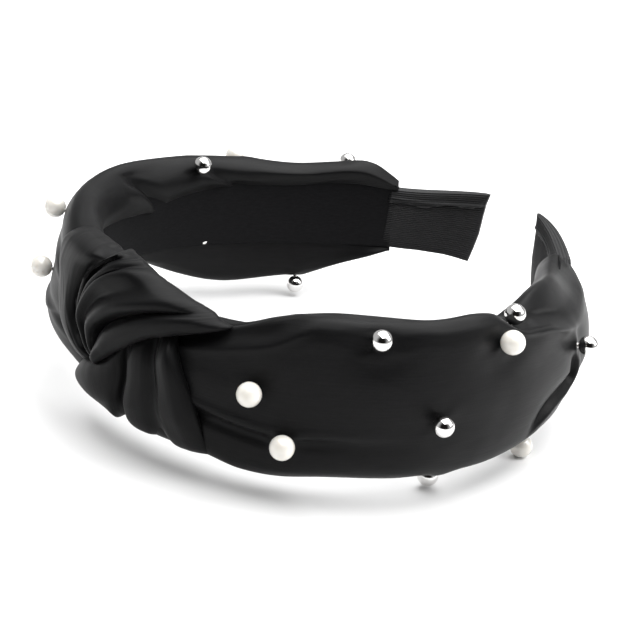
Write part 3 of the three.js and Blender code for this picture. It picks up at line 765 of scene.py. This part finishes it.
def ribbon(side):
    """Grosgrain folded flat round the tip; its upper edge is turned over on the inner side."""
    name = side_name(side)
    points = ribbon_points(side).transpose(1, 0, 2)
    piece = mesh_from_grid(name + "_ribbon_wrap", points, grosgrain, closed=True, flip=side < 0)
    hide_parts(name + "_tip_ribbon")
    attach(piece, name + "_arm")


# ---- Core: the crown's is the CAD's own; each arm's is a strip with a rounded section and a rounded tip ----
def finish_crown_core():
    core = frame["nodes"]["crown_core"]
    core.data.materials.clear()
    core.data.materials.append(plastic)


def core_strip(side):
    """The springy plastic inside one arm, as far as the ribbon hides it."""
    name = side_name(side)
    angles = np.linspace(FLEX_ANGLE + 0.3, CORE_END, 120)
    turn = np.linspace(0, 2 * np.pi, 61)[:-1][:, None]
    rounding = np.sqrt(np.clip((CORE_END + 0.2 - angles) / 5, 0, 1))
    half = (CORE_HALF_WIDTH - 1.4 * smooth((angles - 90) / 60)) * (0.55 + 0.45 * rounding)
    height = half * squared_off(np.sin(turn), 0.8)
    offset = CORE_THICKNESS / 2 * squared_off(np.cos(turn), 0.35) + 0 * angles
    points = band(side * angles, offset, height)
    points = points.transpose(1, 0, 2)
    piece = mesh_from_grid(name + "_core_strip", points, plastic, closed=True, flip=side < 0)
    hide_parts(name + "_arm_core")
    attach(piece, name + "_arm")


# ---- Bead and rivet pieces, turned about the bead's axis ----
RIVET_BACK = 1.0  # how far below the seat a rivet's back lies
LOW_FLAP_RIVET_BACKS = {"left_ball_5": 9.6}  # through both layers of the left arm's low flap
ON_AXIS = 0.01  # a radius small enough to close a turned shape


def lathe(name, profile, material, bead, at, sides=48):
    """A turned piece from rows of radius and height, standing on the bead's axis at a point."""
    turn = np.linspace(0, 2 * np.pi, sides, endpoint=False)
    radius, height = np.transpose(profile)[..., None] * MM
    ring = np.stack([radius * np.cos(turn), radius * np.sin(turn), height + 0 * turn], -1)
    piece = mesh_from_grid(name, ring, material, closed=True)
    stand = Vector((0, 0, 1)).rotation_difference(Vector(bead.axis))
    piece.data.transform(Matrix.Translation(Vector(at)) @ stand.to_matrix().to_4x4())
    return piece


def bead_piece(bead):
    """A bead with the hole that its rivet's post goes into."""
    r = bead.radius + (0 if bead.is_pearl else BALL_GROWTH)
    start = np.arcsin(HOLE_RADIUS / r)
    deepest, lip = HOLE_DEPTH - r, HOLE_LIP - r * np.cos(start)
    hole = [(ON_AXIS, deepest), (HOLE_RADIUS, deepest), (HOLE_RADIUS, lip)]
    surface = [(r * np.sin(a), -r * np.cos(a)) for a in np.linspace(start, np.pi - ON_AXIS, 40)]
    material = pearl if bead.is_pearl else chrome
    piece = lathe(bead.name + "_bead", hole + surface, material, bead, bead.centre)
    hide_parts(bead.name)
    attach(piece, bead.body)


def rivet_piece(bead):
    """A post with a small collar above the cloth and a domed back below it."""
    back = -LOW_FLAP_RIVET_BACKS.get(bead.name, RIVET_BACK)
    top = BEAD_STAND_OFF + 1.15
    domed_back = [
        (ON_AXIS, back - 0.5), (0.9, back - 0.42), (1.5, back - 0.2), (1.4, back), (0.5, back + 0.1)]
    collar = [(0.48, -0.1), (0.74, -0.05), (0.78, 0.12), (0.7, 0.2), (0.5, 0.26)]
    post = [(0.46, top - 0.05), (ON_AXIS, top)]
    piece = lathe(bead.name + "_post", domed_back + collar + post, chrome, bead, bead.seat, sides=32)
    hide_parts(bead.name + "_rivet")
    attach(piece, bead.body)


# ---- Camera: low, in front and to the right of the knot, slightly rolled ----
CAMERA_ANGLES = (41.4, 20.86, -7.78)  # azimuth, elevation and roll, in degrees
CAMERA_DISTANCE = 0.4287
SENSOR_WIDTH = 36
FOCAL = 2.41875  # in sensor widths, as the aim is
AIM_RIGHT = -0.04375
AIM_UP = -0.05875


def camera():
    azimuth, elevation, roll = np.radians(CAMERA_ANGLES)
    cos_a, sin_a = np.cos(azimuth), np.sin(azimuth)
    cos_e, sin_e = np.cos(elevation), np.sin(elevation)
    forward = np.array([-sin_a * cos_e, cos_a * cos_e, -sin_e])
    level = np.array([cos_a, sin_a, 0])
    rising = np.array([-sin_a * sin_e, cos_a * sin_e, cos_e])
    right = level * np.cos(roll) - rising * np.sin(roll)
    up = level * np.sin(roll) + rising * np.cos(roll)
    look = forward * FOCAL + right * AIM_RIGHT + up * AIM_UP
    look = look / np.linalg.norm(look)
    side = np.cross(look, up)
    side = side / np.linalg.norm(side)
    place = CENTRE - forward * CAMERA_DISTANCE
    pose = np.column_stack([side, np.cross(side, look), -look, place])
    data = bpy.data.cameras.new("camera")
    data.sensor_width = SENSOR_WIDTH
    data.lens = SENSOR_WIDTH * FOCAL
    data.clip_start = 0.01
    made = bpy.data.objects.new("camera", data)
    made.matrix_world = Matrix(np.vstack([pose, [0, 0, 0, 1]]).tolist())
    bpy.context.scene.collection.objects.link(made)
    bpy.context.scene.camera = made


# ---- Floor and light ----
FLOOR_REACH = 4.0


def area_light(name, place, size, power, target=(0, 0, 0.02)):
    """A rectangular light, turned to its target."""
    data = bpy.data.lights.new(name, "AREA")
    data.shape = "RECTANGLE"
    data.size, data.size_y = size
    data.energy = power
    made = bpy.data.objects.new(name, data)
    made.location = place
    made.rotation_euler = (Vector(target) - Vector(place)).to_track_quat("-Z", "Y").to_euler()
    bpy.context.scene.collection.objects.link(made)


def surroundings():
    """White behind everything, but what is reflected is dim in front, as an unlit room is behind a camera."""
    world = bpy.data.worlds.new("studio")
    world.use_nodes = True
    tree = world.node_tree
    background = tree.nodes["Background"]
    place = node(tree, "ShaderNodeTexCoord")
    toward = node(tree, "ShaderNodeVectorMath", operation="DOT_PRODUCT")
    toward.inputs[1].default_value = (0.62, -0.7, 0.35)
    tree.links.new(place.outputs["Generated"], toward.inputs[0])
    ramp = node(tree, "ShaderNodeValToRGB")
    ramp.color_ramp.elements[0].position = 0.5
    ramp.color_ramp.elements[0].color = (1, 1, 1, 1)
    ramp.color_ramp.elements[1].position = 0.85
    ramp.color_ramp.elements[1].color = (0.02, 0.018, 0.017, 1)
    tree.links.new(toward.outputs["Value"], ramp.inputs["Fac"])
    seen = node(tree, "ShaderNodeLightPath")
    mixed = node(tree, "ShaderNodeMix", data_type="RGBA")
    mixed.inputs["B"].default_value = (1, 1, 1, 1)
    tree.links.new(seen.outputs["Is Camera Ray"], mixed.inputs["Factor"])
    tree.links.new(ramp.outputs["Color"], mixed.inputs["A"])
    tree.links.new(mixed.outputs["Result"], background.inputs["Color"])
    background.inputs["Strength"].default_value = 0.55
    bpy.context.scene.world = world


def floor():
    """A plain pale floor, a little uneven in tone."""
    material, tree, shader = principled("floor_white", Roughness=0.7)
    tinted(tree, shader, solid_noise(tree, 60.0, 2.0), (0.77, 0.77, 0.77), (0.79, 0.79, 0.79))
    x, y = np.meshgrid([-FLOOR_REACH, FLOOR_REACH], [-FLOOR_REACH, FLOOR_REACH])
    points = np.stack([x, y, 0 * x], -1)
    mesh_from_grid("floor", points, material, flip=True)


camera()
floor()
area_light("overhead", (0.05, 0.2, 1.1), (1.8, 1.6), 44)
area_light("window", (0.75, 0.6, 0.6), (0.6, 0.6), 5)
surroundings()
bpy.context.scene.view_settings.view_transform = "Standard"
finish_crown_core()
sleeve(1, RIGHT_LINES)
sleeve(-1, LEFT_LINES)
strap("knot_over_fold", OVER_WRAP, "knot_over_wrap", 31)
strap("knot_side_fold", SIDE_WRAP, "knot_left_gather", 41)
strap("knot_under_fold", UNDER_WRAP, "knot_under_wrap", 51)
strap("knot_inner_fold", INNER_STRAP, "knot_inner_strap", 61)
for each_side in (1, -1):
    lining_strip(each_side)
    ribbon(each_side)
    core_strip(each_side)
for each_bead in beads:
    bead_piece(each_bead)
    rivet_piece(each_bead)
